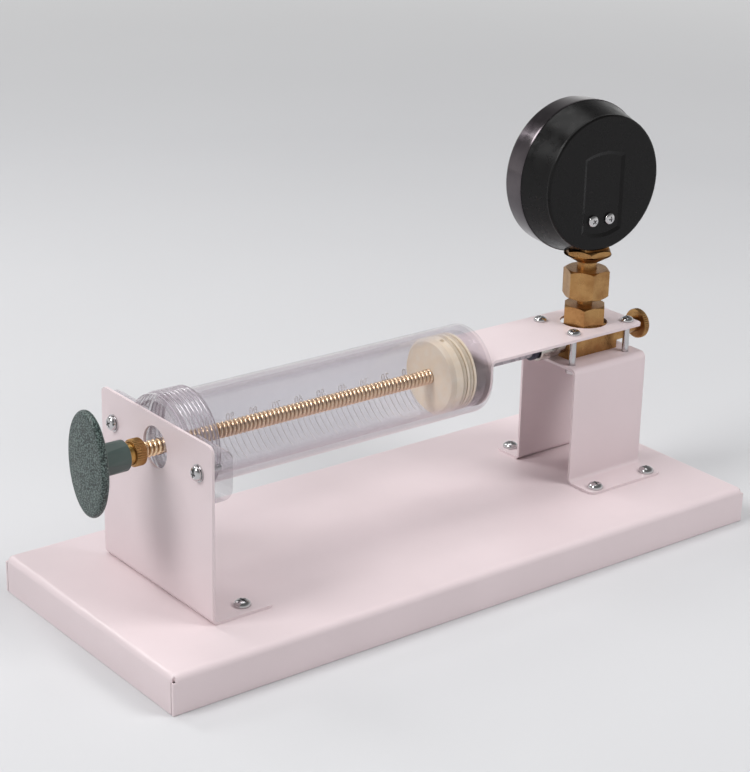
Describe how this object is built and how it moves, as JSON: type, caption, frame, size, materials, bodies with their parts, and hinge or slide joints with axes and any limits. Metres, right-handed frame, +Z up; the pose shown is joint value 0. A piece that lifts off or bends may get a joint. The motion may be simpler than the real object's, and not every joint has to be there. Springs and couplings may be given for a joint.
{
  "type": "boyles law apparatus",
  "caption": "Bench apparatus for Boyle's law: a hand knob and lead screw move a piston in a clear gas cylinder, which feeds a dial pressure gauge through a short hose and a brass manifold.",
  "frame": {"origin": "centre of the base tray's bottom edge plane", "axes": "+X from the hand knob to the gauge, +Y towards the gauge's dial, +Z up"},
  "size_m": [0.3, 0.126, 0.1828],
  "materials": {
    "white_coat": "satin white powder coat",
    "zinc": "bright zinc plate",
    "clear_tube": "clear acrylic",
    "clear_cap": "clear moulded plastic",
    "bright_brass": "bright turned",
    "satin_brass": "satin, slightly dull",
    "copper": "soft copper",
    "seal_rubber": "matte",
    "silicone": "matte ivory",
    "hose_grey": "cloudy flexible tube",
    "nickel": "satin nickel plate",
    "ring_navy": "smooth",
    "gauge_black": "satin black",
    "bezel_black": "gloss black",
    "window_glass": "clear",
    "dial_white": "matte white",
    "pointer_black": "matte black",
    "nylon": "smooth off-white",
    "knob_green": "stippled"
  },
  "bodies": {
    "frame": {"base_tray": "white_coat", "end_bracket": "white_coat", "bracket_screws": "zinc", "bracket_nuts": "zinc", "cap_screws": "zinc", "cap_washers": "zinc", "gauge_stand": "white_coat", "stand_screws": "zinc", "stand_nuts": "zinc", "bridge_plate": "white_coat", "bridge_screws": "zinc", "bridge_nuts": "zinc", "barrel": "clear_tube", "barrel_cap": "clear_cap", "end_plug": "clear_cap", "outlet_nipple": "bright_brass", "nipple_seal": "seal_rubber", "air_hose": "hose_grey", "push_fitting": "nickel", "hose_seal": "seal_rubber", "manifold_block": "satin_brass", "valve_body": "satin_brass", "riser_adapter": "satin_brass", "union_nut": "satin_brass", "union_washer": "copper", "gauge_socket": "satin_brass", "gauge_case": "gauge_black", "case_screws": "zinc", "bezel_ring": "bezel_black", "gauge_window": "window_glass", "window_gasket": "seal_rubber", "dial_plate": "dial_white", "dial_screws": "zinc", "movement_back_plate": "satin_brass", "movement_front_plate": "satin_brass", "movement_pillars": "bright_brass", "movement_screws": "zinc", "bourdon_tube": "bright_brass", "tube_tip": "bright_brass", "link": "zinc", "hairspring": "zinc"},
    "piston": {"piston": "nylon", "piston_seals": "silicone", "swivel_pins": "zinc"},
    "screw": {"lead_screw": "satin_brass", "hand_knob": "knob_green", "knob_insert": "bright_brass", "lock_nut": "satin_brass"},
    "vent_seal": {"vent_seal": "seal_rubber"},
    "vent_screw": {"vent_screw": "bright_brass"},
    "release_ring": {"release_ring": "ring_navy"},
    "pointer": {"pointer": "pointer_black", "pinion_shaft": "zinc"},
    "sector": {"sector_gear": "bright_brass"}
  },
  "joints": [
    {"name": "piston_slide", "type": "slide", "parent": "frame", "child": "piston", "axis": [-1, 0, 0], "range_m": [0, 0.11]},
    {"name": "screw_turn", "type": "hinge", "parent": "piston", "child": "screw", "pos_m": [0, 0.0015, 0.0765], "axis": [-1, 0, 0], "range_deg": [0, 19800]},
    {"name": "vent_slide", "type": "slide", "parent": "frame", "child": "vent_seal", "axis": [1, 0, 0], "range_m": [0, 0.0015]},
    {"name": "vent_turn", "type": "hinge", "parent": "vent_seal", "child": "vent_screw", "pos_m": [0.13, 0.0015, 0.0765], "axis": [1, 0, 0], "range_deg": [0, 720]},
    {"name": "release_ring_slide", "type": "slide", "parent": "frame", "child": "release_ring", "axis": [1, 0, 0], "range_m": [0, 0.0008]},
    {"name": "pointer_turn", "type": "hinge", "parent": "frame", "child": "pointer", "pos_m": [0.1077, 0.0015, 0.149], "axis": [-0.0698, -0.9976, 0], "range_deg": [-90, 180]},
    {"name": "sector_turn", "type": "hinge", "parent": "frame", "child": "sector", "pos_m": [0.1077, 0.0015, 0.1343], "axis": [-0.0698, -0.9976, 0], "range_deg": [-30, 15], "stiffness_Nm_per_rad": 0.018}
  ],
  "couplings": [
    {"joint": "screw_turn", "follows": "piston_slide", "rad_per_m": 3141.6},
    {"joint": "vent_slide", "follows": "vent_turn", "m_per_rad": 0.00011937},
    {"joint": "pointer_turn", "follows": "sector_turn", "ratio": -6}
  ]
}
